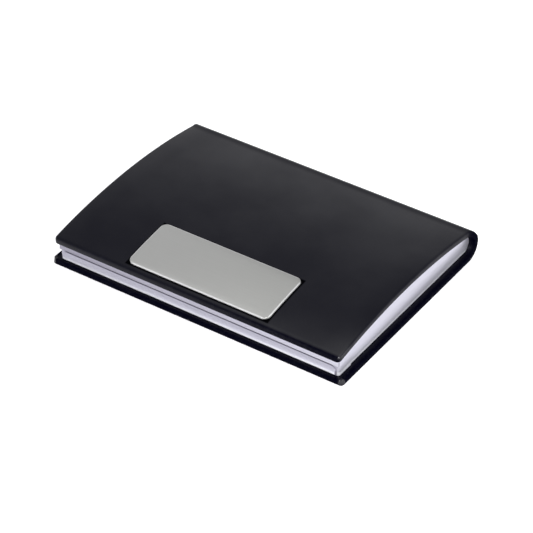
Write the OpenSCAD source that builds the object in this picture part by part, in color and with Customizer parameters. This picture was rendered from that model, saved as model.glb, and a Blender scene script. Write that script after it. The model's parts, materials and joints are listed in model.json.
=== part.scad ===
// Business card case: a leather-covered wrap, hinged by its own soft spine,
// round a folded steel tray. The lid opens like a book.
// +X runs along the length and the lid's free edge is at -Y.
// The origin is the middle of the flat underside.

/* [Cards] */
// Length of the longest card that the tray takes
card_length = 90; // [80:0.5:110]
// Width of the widest card that the tray takes
card_width = 55; // [44:0.5:68]
// Play left for the cards, both sides together
card_play = 0.6; // [0.2:0.1:2]

/* [Outline] */
// Height of the closed case at the crown of the lid
crown_height = 12.6; // [10.4:0.1:16]
// Height of the rounded spine
spine_height = 9.76; // [8:0.02:10.2]
// How far the crown lies in front of the middle of the depth
crown_offset = 1.46; // [0:0.02:4]

/* [Covers] */
// Thickness of the leather
leather_thickness = 0.6; // [0.4:0.05:0.9]
// Thickness of the stiff board in each cover
board_thickness = 0.9; // [0.6:0.05:1.2]
// Thickness of the leather's thinned edge, turned in over the board
turn_in_thickness = 0.4; // [0.25:0.05:0.6]
// Width of the turned-in edge
turn_in_width = 7; // [4:0.5:12]
// Width of the base cover's ledge past each end of the tray
end_ledge = 2.1; // [0.9:0.1:4]
// Width of the base cover's ledge in front of the tray
front_ledge = 1.1; // [0.9:0.1:4]
// How much shorter the lid's cover is than the base's at each end
lid_end_setback = 1.1; // [0:0.1:1.2]
// How far the lid's front edge lies behind the base's
lid_front_setback = 0; // [0:0.1:0.4]
// Corner radius of both covers, seen from above
corner_radius = 1.2; // [1:0.1:5]
// Chamfer that stands for the covers' soft edges
edge_chamfer = 0.5; // [0.2:0.05:0.6]

/* [Steel] */
// Thickness of the sheet steel
steel = 0.4; // [0.3:0.05:0.5]
// Outer radius of the bends between the tray's floor and walls
bend_radius = 0.6; // [0.6:0.05:1.2]
// Outer radius of the tray's upright front corners
tray_corner_radius = 0.8; // [0.6:0.1:2]
// Height of the tray's front wall above the base cover
front_wall_height = 3.1; // [2:0.1:3.4]
// Radius of the front wall's upper corners
front_wall_corner_radius = 1.8; // [0.5:0.1:2]
// Length of the flanges folded behind the front wall
flange_length = 5; // [3:0.5:10]
// Height of the tray's back wall above the base cover
back_wall_height = 4.6; // [2:0.1:4.8]
// Gap between the front wall and the lid's lip
lip_gap = 0.25; // [0.15:0.05:0.6]

/* [Closure] */
// Width of the rail that holds the magnets
rail_width = 3.6; // [3:0.1:6]
// Length of the rail
rail_length = 80; // [50:1:80]
// Diameter of each magnet
magnet_diameter = 2.4; // [1.5:0.1:2.4]
// Thickness of each magnet
magnet_thickness = 2; // [1:0.1:3]
// Distance between the two magnets
magnet_spacing = 64; // [20:1:70]

/* [Linings] */
// Thickness of the soft lining on the tray's floor
tray_lining_thickness = 0.4; // [0.2:0.05:0.8]
// Room behind the tray's back wall, up to the middle of the spine
spine_room = 3.3; // [2:0.1:6]

/* [Nameplate] */
// Length of the nameplate
nameplate_length = 45.8; // [20:0.1:70]
// Width of the nameplate
nameplate_width = 17.5; // [8:0.1:30]
// Thickness of the nameplate
nameplate_thickness = 0.5; // [0.3:0.05:1]
// Corner radius of the nameplate
nameplate_corner_radius = 2; // [0.5:0.1:4]
// Distance from the lid's front edge to the nameplate
nameplate_setback = 1.8; // [1:0.1:10]
// Thickness of the adhesive under the nameplate
nameplate_tape_thickness = 0.1; // [0.05:0.01:0.3]
// How far the adhesive stays inside the nameplate's edge
nameplate_tape_inset = 0.6; // [0.2:0.1:2]

/* [Clearances] */
// Gap between the tray's end walls and the lid and spine
lid_gap = 0.2; // [0.1:0.05:0.4]
// Gap between neighbouring strips of the wrap at a fold
fold_gap = 0.1; // [0.04:0.02:0.2]
// Gap round the pieces laid into the tray
laid_in_gap = 0.1; // [0.05:0.05:0.3]
// Gap between the rail and the lid's liner
rail_gap = 0.35; // [0.2:0.05:0.8]
// Gap between the lid's liner and the tray's end walls
liner_end_gap = 0.3; // [0.2:0.05:0.6]
// Gap between the lid's lip and the end walls behind it
lip_play = 0.35; // [0.3:0.05:1]
// How far each board stops short of the fold, so that the leather can bend
board_fold_gap = 1.5; // [0.8:0.1:3]

/* [Hidden] */

$fn = 96;
arch_fn = 720;

leather_colour = "#2b2b2f";
lining_colour = "#1c1c20";
board_colour = "#9a8468";
tape_colour = "#e8e4d8";
steel_colour = "#c9c9d2";
plate_colour = "#a6a6a4";

cover = leather_thickness + board_thickness + turn_in_thickness;
spine_radius = spine_height / 2;

// Depths of the layers below a cover's outer face
board_top = leather_thickness;
board_bottom = leather_thickness + board_thickness;

// Places along the depth, from the base's front edge backwards
front_to_rail = front_ledge + 2 * steel + laid_in_gap;
rail_to_back_wall = rail_width + laid_in_gap + card_width + card_play;
case_depth = front_to_rail + rail_to_back_wall + steel + spine_room + spine_radius;
base_front = -case_depth / 2;
tray_front = base_front + front_ledge;
rail_front = base_front + front_to_rail;
back_wall_y = rail_front + rail_to_back_wall;
spine_y = case_depth / 2 - spine_radius;
spine_z = spine_radius;
lid_front = base_front + lid_front_setback;

// Half lengths along X
tray_half = (card_length + card_play) / 2 + steel;
base_half = tray_half + end_ledge;
lid_half = base_half - lid_end_setback;
liner_half = tray_half - steel - liner_end_gap;
front_wall_half = tray_half - tray_corner_radius;

// The lid is an arc of a circle that runs smoothly into the round of the spine
crown_y = -crown_offset;
crown_rise = crown_height - spine_height;
arch_radius = pow(spine_y - crown_y, 2) / (2 * crown_rise) + crown_height / 2;
arch_z = crown_height - arch_radius;
lid_fold_angle = acos((spine_y - crown_y) / (arch_radius - spine_radius));
arch_front_angle = 90 + asin((crown_y - lid_front) / (arch_radius - cover)) + 1;
fold_gap_angle = fold_gap / 2 / arch_radius * 180 / PI;

// The round of the spine, from below to the lid's fold, is cut in equal strips
base_fold_angle = -90;
strip_angle = (lid_fold_angle - base_fold_angle) / 3;
lower_fold_angle = base_fold_angle + strip_angle;
upper_fold_angle = lower_fold_angle + strip_angle;

// Heights
tray_floor = cover + steel;
front_wall_top = cover + front_wall_height;
back_wall_top = cover + back_wall_height;
lip_bottom = front_wall_top + lip_gap;
rail_top = arch_height(rail_front, cover + steel) - rail_gap;

// Height of the lid's arch over y, at a depth below the lid's outer face
function arch_height(y, depth) = arch_z + sqrt(pow(arch_radius - depth, 2) - pow(y - crown_y, 2));

// Unit vector at an angle from +Y towards +Z, as a point of the side view
function direction(angle) = [cos(angle), sin(angle)];

// Extrudes a side view, drawn as [y, z], along X to both sides
module along_x(half) {
    rotate([90, 0, 90])
        translate([0, 0, -half])
            linear_extrude(2 * half) children();
}

// Upright prism over a plan, tall enough to cut any piece
module upright() {
    translate([0, 0, -1])
        linear_extrude(crown_height + 4) children();
}

// Plan of a panel with its two front corners rounded
module panel_plan(half, front, back, radius) {
    translate([-half, front + radius]) square([2 * half, back - front - radius]);
    translate([radius - half, front]) square([2 * (half - radius), radius + 1]);
    for (side = [-1, 1])
        translate([side * (half - radius), front + radius]) circle(r = radius);
}

// Plan of a plate with all four corners rounded
module plate_plan(half, front, back, radius) {
    intersection() {
        panel_plan(half, front, back, radius);
        translate([0, front + back]) mirror([0, 1]) panel_plan(half, front, back, radius);
    }
}

// Section through a cover's wall as [thickness, x], with chamfered ends
module wall_section(half) {
    flat = half - edge_chamfer;
    polygon([
        [0, -flat], [edge_chamfer, -half], [cover - edge_chamfer, -half], [cover, -flat],
        [cover, flat], [cover - edge_chamfer, half], [edge_chamfer, half], [0, flat],
    ]);
}

// Turns a section, drawn as [distance below the outer face, x], along the lid's arch
module along_arch() {
    rotate([90, 0, 90])
        translate([crown_y, arch_z, 0])
            rotate([0, 0, lid_fold_angle + fold_gap_angle])
                rotate_extrude(angle = arch_front_angle - lid_fold_angle, $fn = arch_fn)
                    translate([arch_radius, 0]) mirror([1, 0]) children();
}

// Slab of the arch between two depths below the lid's outer face
module arch_slab(top, bottom, half) {
    along_arch() translate([top, -half]) square([bottom - top, 2 * half]);
}

// Side view of all that lies inside the closed wrap, from a depth below its outer face
module wrap_inside(depth) {
    beyond = spine_radius + crown_height;
    translate([spine_y, spine_z]) circle(r = spine_radius - depth);
    intersection() {
        translate([crown_y, arch_z]) circle(r = arch_radius - depth, $fn = arch_fn);
        polygon([
            [base_front, depth], [spine_y, depth], [spine_y, spine_z],
            [spine_y, spine_z] + beyond * direction(lid_fold_angle), [base_front, 2 * crown_height],
        ]);
    }
}

// Side view of a wedge of the spine between two fold angles, less half a gap at each
module spine_wedge(from, to) {
    middle = [spine_y, spine_z];
    from_side = middle + fold_gap / 2 * direction(from + 90);
    to_side = middle + fold_gap / 2 * direction(to - 90);
    reach = 2 * spine_radius;
    polygon([from_side, from_side + reach * direction(from), to_side + reach * direction(to), to_side]);
}

// Strip of the spine's wall between two depths and two fold angles
module spine_strip(top, bottom, from, to) {
    intersection() {
        rotate([90, 0, 90])
            translate([spine_y, spine_z, 0])
                rotate_extrude() intersection() {
                    translate([spine_radius, 0]) mirror([1, 0]) wall_section(base_half);
                    translate([spine_radius - bottom, -base_half]) square([bottom - top, 2 * base_half]);
                }
        along_x(base_half + 1) spine_wedge(from, to);
    }
}

// Leather under the base, turned up round the board and in over its edge
module base_leather() {
    back = spine_y - fold_gap / 2;
    color(leather_colour) difference() {
        intersection() {
            translate([0, back, 0])
                rotate([90, 0, 0])
                    linear_extrude(back - base_front) rotate(90) wall_section(base_half);
            along_x(base_half + 1) polygon([
                [base_front, edge_chamfer], [base_front + edge_chamfer, 0], [back, 0],
                [back, cover], [base_front + edge_chamfer, cover], [base_front, cover - edge_chamfer],
            ]);
            upright() panel_plan(base_half, base_front, back, corner_radius);
        }
        base_board_solid();
        tray_tape_solid();
    }
}

// Stiff board that keeps the base flat
module base_board() {
    color(board_colour) base_board_solid();
}

module base_board_solid() {
    translate([0, 0, board_top])
        linear_extrude(board_thickness)
            plate_plan(base_half - leather_thickness, base_front + leather_thickness,
                spine_y - board_fold_gap, corner_radius - leather_thickness);
}

// Adhesive sheet inside the turned-in edge, which holds the tray to the board
module tray_tape() {
    color(tape_colour) tray_tape_solid();
}

module tray_tape_solid() {
    translate([0, 0, board_bottom])
        linear_extrude(turn_in_thickness)
            plate_plan(base_half - turn_in_width, base_front + turn_in_width,
                spine_y - turn_in_width, corner_radius - leather_thickness);
}

// Side view of the tray's end wall: flat below, arched above and round at the back
module end_wall_view() {
    wrap_inside(cover + lid_gap);
    translate([tray_front, cover]) square([spine_y - tray_front, spine_radius - cover]);
}

// Plan of the low flanges that turn the tray's front corners
module corner_sheet_plan() {
    front = tray_front + steel;
    reach = front + tray_corner_radius + flange_length;
    difference() {
        panel_plan(tray_half, front, reach, tray_corner_radius);
        panel_plan(tray_half - steel, front + steel, reach + 1, tray_corner_radius - steel);
        translate([flange_length - tray_half, front - 1])
            square([2 * (tray_half - flange_length), reach - front + 2]);
    }
}

// Folded sheet: floor, end walls, low front wall and back wall
module tray() {
    color(steel_colour) {
        // Floor and end walls, folded from one width
        difference() {
            intersection() {
                translate([0, spine_y + spine_radius, 0])
                    rotate([90, 0, 0])
                        linear_extrude(case_depth) difference() {
                            folded_section(tray_half, cover, bend_radius);
                            folded_section(tray_half - steel, tray_floor, bend_radius - steel);
                        }
                along_x(tray_half + 1) end_wall_view();
                upright() panel_plan(tray_half, tray_front + steel, spine_y + spine_radius, tray_corner_radius);
            }
            translate([steel - tray_half, back_wall_y + steel, 0])
                cube([2 * (tray_half - steel), spine_room + spine_radius, crown_height]);
            translate([-base_half, base_front, front_wall_top])
                cube([2 * base_half, front_ledge + steel + lip_play, crown_height]);
        }
        // Low flanges, turned in behind the front wall
        translate([0, 0, cover])
            linear_extrude(front_wall_height) corner_sheet_plan();
        // Front wall, folded up from the floor
        intersection() {
            along_x(front_wall_half) difference() {
                folded_view(tray_front, cover, bend_radius);
                folded_view(tray_front + steel, tray_floor, bend_radius - steel);
            }
            front_wall_outline();
        }
        // Back wall
        translate([steel - tray_half, back_wall_y, cover])
            cube([2 * (tray_half - steel), steel, back_wall_height]);
    }
}

// Section across the tray as [x, z]: a tall block with its two lower edges rounded
module folded_section(half, bottom, radius) {
    translate([-half, bottom + radius]) square([2 * half, crown_height]);
    translate([radius - half, bottom]) square([2 * (half - radius), crown_height]);
    for (side = [-1, 1])
        translate([side * (half - radius), bottom + radius]) circle(r = radius);
}

// Side view of a block with its lower front edge rounded
module folded_view(front, bottom, radius) {
    length = 2 * bend_radius + tray_front - front;
    translate([front, bottom + radius]) square([length, crown_height]);
    translate([front + radius, bottom]) square([length - radius, crown_height]);
    translate([front + radius, bottom + radius]) circle(r = radius);
}

// Front view of the front wall, with its two upper corners rounded
module front_wall_outline() {
    radius = front_wall_corner_radius;
    translate([0, tray_front + 2 * bend_radius, 0])
        rotate([90, 0, 0])
            linear_extrude(3 * bend_radius) {
                translate([-front_wall_half, 0])
                    square([2 * front_wall_half, front_wall_top - radius]);
                translate([radius - front_wall_half, 0])
                    square([2 * (front_wall_half - radius), front_wall_top]);
                for (side = [-1, 1])
                    translate([side * (front_wall_half - radius), front_wall_top - radius])
                        circle(r = radius);
            }
}

// Soft lining that the cards lie on
module tray_lining() {
    front = rail_front + rail_width + laid_in_gap;
    half = tray_half - bend_radius - laid_in_gap;
    color(lining_colour)
        translate([-half, front, tray_floor])
            cube([2 * half, back_wall_y - laid_in_gap - front, tray_lining_thickness]);
}

// Bar behind the front wall, with a pocket for each magnet
module magnet_rail() {
    color(lining_colour) difference() {
        translate([-rail_length / 2, rail_front, tray_floor])
            cube([rail_length, rail_width, rail_top - tray_floor]);
        closing_magnet_solids();
    }
}

// Two disc magnets that draw the lid's liner down
module closing_magnets() {
    color(steel_colour) closing_magnet_solids();
}

module closing_magnet_solids() {
    for (side = [-1, 1])
        translate([side * magnet_spacing / 2, rail_front + rail_width / 2, rail_top - magnet_thickness])
            cylinder(h = magnet_thickness, d = magnet_diameter);
}

// Leather of the spine, one strip between each two folds
module spine_leather(from) {
    color(leather_colour) spine_strip(0, leather_thickness, from, from + strip_angle);
}

module spine_leather_lower() {
    spine_leather(base_fold_angle);
}

module spine_leather_middle() {
    spine_leather(lower_fold_angle);
}

module spine_leather_upper() {
    spine_leather(upper_fold_angle);
}

// Lining of the spine, which backs the leather strip by strip
module spine_lining(from) {
    color(lining_colour) spine_strip(leather_thickness, cover, from, from + strip_angle);
}

module spine_lining_lower() {
    spine_lining(base_fold_angle);
}

module spine_lining_middle() {
    spine_lining(lower_fold_angle);
}

module spine_lining_upper() {
    spine_lining(upper_fold_angle);
}

// Leather over the lid, turned in round the board
module lid_leather() {
    back = spine_y + spine_radius;
    above = crown_height + 1;
    edge_top = arch_height(lid_front, 0) - edge_chamfer;
    edge_bottom = arch_height(lid_front, cover) + edge_chamfer;
    color(leather_colour) difference() {
        intersection() {
            along_arch() wall_section(lid_half);
            along_x(lid_half + 1) polygon([
                [lid_front, edge_top], [lid_front, edge_bottom], [lid_front + edge_bottom, 0],
                [back, 0], [back, above], [lid_front + above - edge_top, above],
            ]);
            upright() panel_plan(lid_half, lid_front, back, corner_radius);
        }
        lid_board_solid();
        liner_tape_solid();
    }
}

// Stiff board, formed to the arch, that shapes the lid
module lid_board() {
    color(board_colour) lid_board_solid();
}

module lid_board_solid() {
    intersection() {
        arch_slab(board_top, board_bottom, lid_half);
        upright() plate_plan(lid_half - leather_thickness, lid_front + leather_thickness,
            spine_y - board_fold_gap, corner_radius - leather_thickness);
    }
}

// Adhesive sheet inside the turned-in edge, which holds the liner to the board
module liner_tape() {
    color(tape_colour) liner_tape_solid();
}

module liner_tape_solid() {
    intersection() {
        arch_slab(board_bottom, cover, lid_half);
        upright() plate_plan(lid_half - turn_in_width, lid_front + turn_in_width,
            spine_y - turn_in_width, corner_radius - leather_thickness);
    }
}

// Sheet inside the lid, with a wider lip folded down over the front of the tray
module lid_liner() {
    color(steel_colour) {
        along_x(liner_half) intersection() {
            difference() {
                wrap_inside(cover);
                wrap_inside(cover + steel);
            }
            translate([tray_front, spine_z]) square([back_wall_y + steel - tray_front, crown_height]);
        }
        along_x(tray_half) intersection() {
            wrap_inside(cover);
            translate([tray_front, lip_bottom]) square([steel, crown_height]);
        }
    }
}

// Slab of the nameplate's outline, between two heights above the lid
module nameplate_slab(top, bottom, inset) {
    half = nameplate_length / 2 - inset;
    front = lid_front + nameplate_setback + inset;
    back = lid_front + nameplate_setback + nameplate_width - inset;
    intersection() {
        arch_slab(-top, -bottom, half + 1);
        upright() plate_plan(half, front, back, nameplate_corner_radius);
    }
}

// Plain satin plate on the lid
module nameplate() {
    color(plate_colour)
        nameplate_slab(nameplate_tape_thickness + nameplate_thickness, nameplate_tape_thickness, 0);
}

// Adhesive that holds the nameplate
module nameplate_tape() {
    color(tape_colour) nameplate_slab(nameplate_tape_thickness, 0, nameplate_tape_inset);
}

base_leather();
base_board();
tray_tape();
tray();
tray_lining();
magnet_rail();
closing_magnets();
spine_leather_lower();
spine_leather_middle();
spine_leather_upper();
spine_lining_lower();
spine_lining_middle();
spine_lining_upper();
lid_leather();
lid_board();
liner_tape();
lid_liner();
nameplate();
nameplate_tape();
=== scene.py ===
import json
import math
import bmesh
import bpy
from bpy.props import FloatProperty, FloatVectorProperty, IntProperty, PointerProperty
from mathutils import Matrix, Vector


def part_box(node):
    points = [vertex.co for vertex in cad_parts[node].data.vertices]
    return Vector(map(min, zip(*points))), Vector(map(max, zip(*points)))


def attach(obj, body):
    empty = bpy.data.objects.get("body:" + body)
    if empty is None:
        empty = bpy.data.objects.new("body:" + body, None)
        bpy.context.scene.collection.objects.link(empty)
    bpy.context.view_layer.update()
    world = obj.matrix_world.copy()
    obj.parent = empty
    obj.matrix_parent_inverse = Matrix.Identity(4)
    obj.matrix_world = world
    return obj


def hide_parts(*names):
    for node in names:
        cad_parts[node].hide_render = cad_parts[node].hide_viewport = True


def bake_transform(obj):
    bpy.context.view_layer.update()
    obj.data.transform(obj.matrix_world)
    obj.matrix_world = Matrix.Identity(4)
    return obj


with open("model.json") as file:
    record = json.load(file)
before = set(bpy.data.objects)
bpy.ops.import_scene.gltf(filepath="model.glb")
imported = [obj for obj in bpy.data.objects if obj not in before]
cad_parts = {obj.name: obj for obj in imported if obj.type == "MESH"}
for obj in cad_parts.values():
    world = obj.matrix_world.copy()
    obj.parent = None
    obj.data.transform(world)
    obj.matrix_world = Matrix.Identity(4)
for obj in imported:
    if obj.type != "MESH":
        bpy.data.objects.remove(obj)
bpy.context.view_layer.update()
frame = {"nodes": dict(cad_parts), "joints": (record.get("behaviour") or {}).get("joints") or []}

bl_info = {
    "name": "Business Card Case",
    "version": (1, 0, 0),
    "blender": (4, 5, 0),
    "location": "View3D > Sidebar > Card Case",
    "description": "Builds the leather, steel and trim of a book-hinged card case round its frame",
    "category": "Object",
}

MM = 0.001
TINY = 1e-6

# The wrap as the frame gives it: a flat base, a round spine and an arched lid.
# +X runs along the length, the base lies on Z = 0 and the folds are the hinges' own places.
FOLDS = [Vector(joint["pos_m"]) for joint in frame["joints"]]
BASE_LOW, BASE_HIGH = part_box("base_leather")
LID_LOW, LID_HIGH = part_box("lid_leather")
COVER = BASE_HIGH.z - BASE_LOW.z
SPINE_Y = FOLDS[0].y
LID_FOLD = FOLDS[-1]
SPINE_RADIUS = ((LID_FOLD.y - SPINE_Y) ** 2 + LID_FOLD.z ** 2) / (2 * LID_FOLD.z)
LID_FOLD_ANGLE = math.atan2(LID_FOLD.z - SPINE_RADIUS, LID_FOLD.y - SPINE_Y)
ARCH_RADIUS = (LID_HIGH.z - LID_FOLD.z) / (1 - math.sin(LID_FOLD_ANGLE))
ARCH_Y = LID_FOLD.y - ARCH_RADIUS * math.cos(LID_FOLD_ANGLE)
ARCH_Z = LID_FOLD.z - ARCH_RADIUS * math.sin(LID_FOLD_ANGLE)
SPINE_LENGTH = SPINE_RADIUS * (LID_FOLD_ANGLE + math.pi / 2)
LID_START = SPINE_Y + SPINE_LENGTH

# Angles in degrees: edges that a bevel rounds, faces that merge, edges that stay sharp when shaded.
BEVEL_FROM = 30
MERGE_UP_TO = 0.5
SHARP_SHEET = 30
SHARP_LEATHER = 35

# How level a face is, as the upward part of its normal.
LEVEL_FROM = 0.9
UPRIGHT_TO = 0.1

# The Mix node's colours, which share their names with its other sockets.
MIX_FIRST, MIX_SECOND, MIX_RESULT = 6, 7, 2
ORIGIN = (0.0, 0.0, 0.0)

# Each light's side in metres, azimuth and elevation in degrees, and distance in metres.
LIGHTS = (
    ("top_light", 1.4, 0, 88, 1.3),
    ("side_light", 0.8, 100, 30, 1.2),
    ("corner_light", 0.14, 46, 28, 0.9),
)
FLOOR_SIZE = 6
CAMERA_REACH = (0.01, 20)
STUDIO_TINT = (0.98, 0.98, 1.0, 1)
HORIZON_TO_ZENITH = (0.25, 0.9)


def rolled(place):
    """Where a point of the flat wrap, Z above its outer face, comes once the wrap is rolled up."""
    along = place.y - SPINE_Y
    if along <= 0:
        return place.copy()
    if along < SPINE_LENGTH:
        radius, centre_y, centre_z = SPINE_RADIUS, SPINE_Y, SPINE_RADIUS
        angle = along / SPINE_RADIUS - math.pi / 2
    else:
        radius, centre_y, centre_z = ARCH_RADIUS, ARCH_Y, ARCH_Z
        angle = LID_FOLD_ANGLE + (along - SPINE_LENGTH) / ARCH_RADIUS
    reach = radius - place.z
    return Vector((place.x, centre_y + reach * math.cos(angle), centre_z + reach * math.sin(angle)))


def laid_flat(y):
    """Distance along the flat wrap at which the lid's outer face lies over y."""
    return LID_START + ARCH_RADIUS * (math.acos((y - ARCH_Y) / ARCH_RADIUS) - LID_FOLD_ANGLE)


def on_lid(name):
    """Corners, on the flat wrap's outer face, of a node that lies along the lid."""
    low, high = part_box(name)
    return Vector((low.x, laid_flat(high.y), 0)), Vector((high.x, laid_flat(low.y), 0))


def spine_place(angle):
    """Distance along the flat wrap of an angle round the spine, from +Y towards +Z."""
    return SPINE_Y + SPINE_RADIUS * (angle + math.pi / 2)


FLAT_END = laid_flat(LID_LOW.y)
FLAT_FOLDS = [spine_place(math.atan2(fold.z - SPINE_RADIUS, fold.y - SPINE_Y)) for fold in FOLDS]


# ---- Settings that a user would change ----

def length(name, description, millimetres):
    """A length, shown in the scene's own unit."""
    return FloatProperty(
        name=name, description=description, default=millimetres * MM, min=0, precision=5,
        unit="LENGTH")


def angle(name, description, degrees):
    """An angle."""
    return FloatProperty(
        name=name, description=description, default=math.radians(degrees), subtype="ANGLE")


def colour(name, description, default):
    """A linear colour."""
    return FloatVectorProperty(
        name=name, description=description, default=default, size=3, min=0, max=1, subtype="COLOR")


def amount(name, description, default, unit="NONE"):
    """A brightness, a power or a focal length."""
    return FloatProperty(name=name, description=description, default=default, min=0, unit=unit)


class CardCaseShapes(bpy.types.PropertyGroup):
    corner_radius: length("Corner radius", "Corners of both covers, seen from above", 1.2)
    outer_round: length("Outer edge", "Roundness of the leather where it turns over the board", 0.7)
    inner_round: length("Inner edge", "Roundness of the leather's inner edge", 0.35)
    pleat_depth: length("Pleat depth", "How far the base's corners are drawn in at the top", 0.35)
    pleat_foot: length("Pleat foot", "Height from which the base's corners are drawn in", 0.45)
    spine_step: angle("Spine step", "Angle between two rows of faces round the spine", 2.5)
    lid_step: angle("Lid step", "Angle between two rows of faces along the lid's arch", 0.5)
    upper_seam: angle("Upper seam", "Angle round the spine of the seam on its upper strip", 43.0)
    base_bend: length("Base bend", "Length of the base's leather that bends with the spine", 1.4)
    lid_bend: length("Lid bend", "Length of the lid's leather that bends with the spine", 2.6)
    lining_thickness: length("Spine lining", "Thickness of the strip inside the spine", 0.2)
    lining_gap: length("Lining gap", "Gap between the spine's strip and the tray's back wall", 0.2)
    steel_edge: length("Steel edges", "Roundness of the sheet steel's cut edges", 0.09)
    rail_edge: length("Rail edges", "Roundness of the magnet rail's edges", 0.3)
    magnet_edge: length("Magnet edges", "Roundness of the magnets' rims", 0.15)
    pad_edge: length("Pad edges", "Roundness of the tray lining's edges", 0.15)
    plate_corner: length("Nameplate corner", "Corner radius of the nameplate", 2.0)
    plate_rim: length("Nameplate rim", "Width of the nameplate's turned-down rim", 0.32)
    round_segments: IntProperty(
        name="Segments", description="Faces across each rounded edge", default=5, min=2)


class CardCaseColours(bpy.types.PropertyGroup):
    leather: colour("Leather", "Smooth black leather", (0.0006, 0.0006, 0.0038))
    leather_worn: colour("Worn leather", "Leather that hands have rubbed", (0.007, 0.007, 0.011))
    # Painted shadow: the colour of the line pressed round the nameplate.
    leather_pressed_shadow: colour("Pressed leather", "Line round the nameplate", (0.001, 0.001, 0.0015))
    lining: colour("Lining", "Black microfibre", (0.016, 0.016, 0.020))
    lining_nap: colour("Lining nap", "Tips of the microfibre", (0.050, 0.050, 0.058))
    steel: colour("Steel", "Satin sheet steel", (0.48, 0.475, 0.54))
    steel_dark: colour("Dark steel", "Steel turned away from the light", (0.20, 0.19, 0.24))
    # Painted highlight: this colour paints the bright bands on the tray's arched top and folded
    # foot, and round the lid liner's outline.
    steel_highlight: colour("Bright steel", "Steel along its burnished edges", (0.90, 0.90, 0.96))
    plate: colour("Nameplate", "Satin face of the nameplate", (0.352, 0.354, 0.342))
    # Painted highlight: this colour lightens the nameplate's rim and its left end.
    plate_highlight: colour("Nameplate rim", "Polished rim of the nameplate", (0.78, 0.78, 0.78))
    board: colour("Board", "Grey binding board", (0.30, 0.27, 0.23))
    board_fleck: colour("Board fleck", "Darker fibres in the board", (0.16, 0.14, 0.12))
    adhesive: colour("Adhesive", "Foam adhesive sheet", (0.72, 0.70, 0.64))
    adhesive_pore: colour("Adhesive pores", "Open cells of the foam", (0.50, 0.48, 0.43))
    rail: colour("Rail", "Black moulded rail", (0.014, 0.014, 0.016))
    rail_rubbed: colour("Rubbed rail", "Rail where cards rub it", (0.045, 0.045, 0.050))
    nickel: colour("Nickel", "Plating of the magnets", (0.66, 0.63, 0.58))
    nickel_dull: colour("Dull nickel", "Tarnish on the plating", (0.40, 0.38, 0.34))
    floor: colour("Floor", "Pale floor", (0.93, 0.93, 0.94))


class CardCaseStage(bpy.types.PropertyGroup):
    azimuth: angle("Azimuth", "Camera's turn round the case, from the front to the right", 34.128)
    elevation: angle("Elevation", "Camera's height above the horizon", 37.439)
    distance: length("Distance", "From the camera to the point that it looks at", 707.0)
    lens: amount("Lens", "Focal length", 175.07, "CAMERA")
    aim: FloatVectorProperty(
        name="Aim", description="Point that the camera looks at", size=3, subtype="TRANSLATION",
        default=(6.65 * MM, -9.40 * MM, 6.06 * MM))
    horizon: amount("Horizon", "Brightness of the studio near the horizon", 1.0)
    zenith: amount("Zenith", "Brightness of the studio overhead", 0.42)
    top_light: amount("Top light", "Power of the large light overhead", 9.0, "POWER")
    side_light: amount("Side light", "Power of the soft light on the right", 1.6, "POWER")
    corner_light: amount("Corner light", "Power of the small light on the corners", 6.0, "POWER")
    floor_glow: amount("Floor glow", "Light that the pale floor adds by itself", 0.38)


def shapes():
    """The sizes that a user can change."""
    return bpy.context.scene.card_case_shapes


def colours():
    """The colours that a user can change."""
    return bpy.context.scene.card_case_colours


# ---- Modelling, the way it is done by hand ----

def take(piece):
    """Makes a piece the only one selected."""
    if bpy.context.object and bpy.context.object.mode != "OBJECT":
        bpy.ops.object.mode_set(mode="OBJECT")
    bpy.ops.object.select_all(action="DESELECT")
    piece.select_set(True)
    bpy.context.view_layer.objects.active = piece


def edit(piece, kind="FACE"):
    """Opens a piece in edit mode with nothing selected."""
    take(piece)
    bpy.ops.object.mode_set(mode="EDIT")
    bpy.ops.mesh.select_mode(type=kind)
    bpy.ops.mesh.select_all(action="DESELECT")


def close_edit():
    """Goes back to object mode."""
    bpy.ops.object.mode_set(mode="OBJECT")


def pick(piece, kind, test):
    """In edit mode, selects just the verts, edges or faces that pass a test."""
    bpy.ops.mesh.select_mode(type=kind[:-1].upper())
    bpy.ops.mesh.select_all(action="DESELECT")
    mesh = bmesh.from_edit_mesh(piece.data)
    mesh.normal_update()
    chosen = [item for item in getattr(mesh, kind) if test(item)]
    for item in chosen:
        item.select_set(True)
    mesh.select_flush_mode()
    bmesh.update_edit_mesh(piece.data)
    if not chosen:
        raise RuntimeError(f"nothing to select among the {kind} of {piece.name}")


def block(name, low, high):
    """A block between two corners, which later steps shape."""
    bpy.ops.object.select_all(action="DESELECT")
    bpy.ops.mesh.primitive_cube_add(size=1, location=(low + high) / 2)
    piece = bpy.context.object
    piece.name = piece.data.name = name
    bpy.ops.transform.resize(value=high - low)
    bpy.ops.object.transform_apply()
    return piece


def cut_across(piece, places, axis=1):
    """Cuts a row of edges through a piece at each place along an axis."""
    edit(piece)
    normal = Vector([1 if side == axis else 0 for side in range(3)])
    for place in places:
        bpy.ops.mesh.select_all(action="SELECT")
        bpy.ops.mesh.bisect(plane_co=normal * place, plane_no=normal)
    close_edit()


def duplicate(source, name):
    """A copy of an object with a mesh of its own."""
    copy = source.copy()
    copy.data = source.data.copy()
    copy.name = copy.data.name = name
    bpy.context.scene.collection.objects.link(copy)
    return copy


def part_between(piece, name, start, end):
    """A closed copy of the stretch of a flat piece between two places along it."""
    copy = duplicate(piece, name)
    edit(copy)
    for place, outside in ((start, -1), (end, 1)):
        bpy.ops.mesh.select_all(action="SELECT")
        bpy.ops.mesh.bisect(
            plane_co=(0, place, 0), plane_no=(0, outside, 0), clear_outer=True, use_fill=True)
    close_edit()
    return copy


def upright_corner(edge, front, back):
    """True for an upright edge where the front or back of a slab or pocket meets a side."""
    one, other = (vert.co for vert in edge.verts)
    upright = abs(one.x - other.x) < TINY and abs(one.y - other.y) < TINY
    at_end = min(abs(one.y - front), abs(one.y - back)) < TINY
    return upright and at_end and edge.calc_face_angle(0) > math.radians(BEVEL_FROM)


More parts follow.
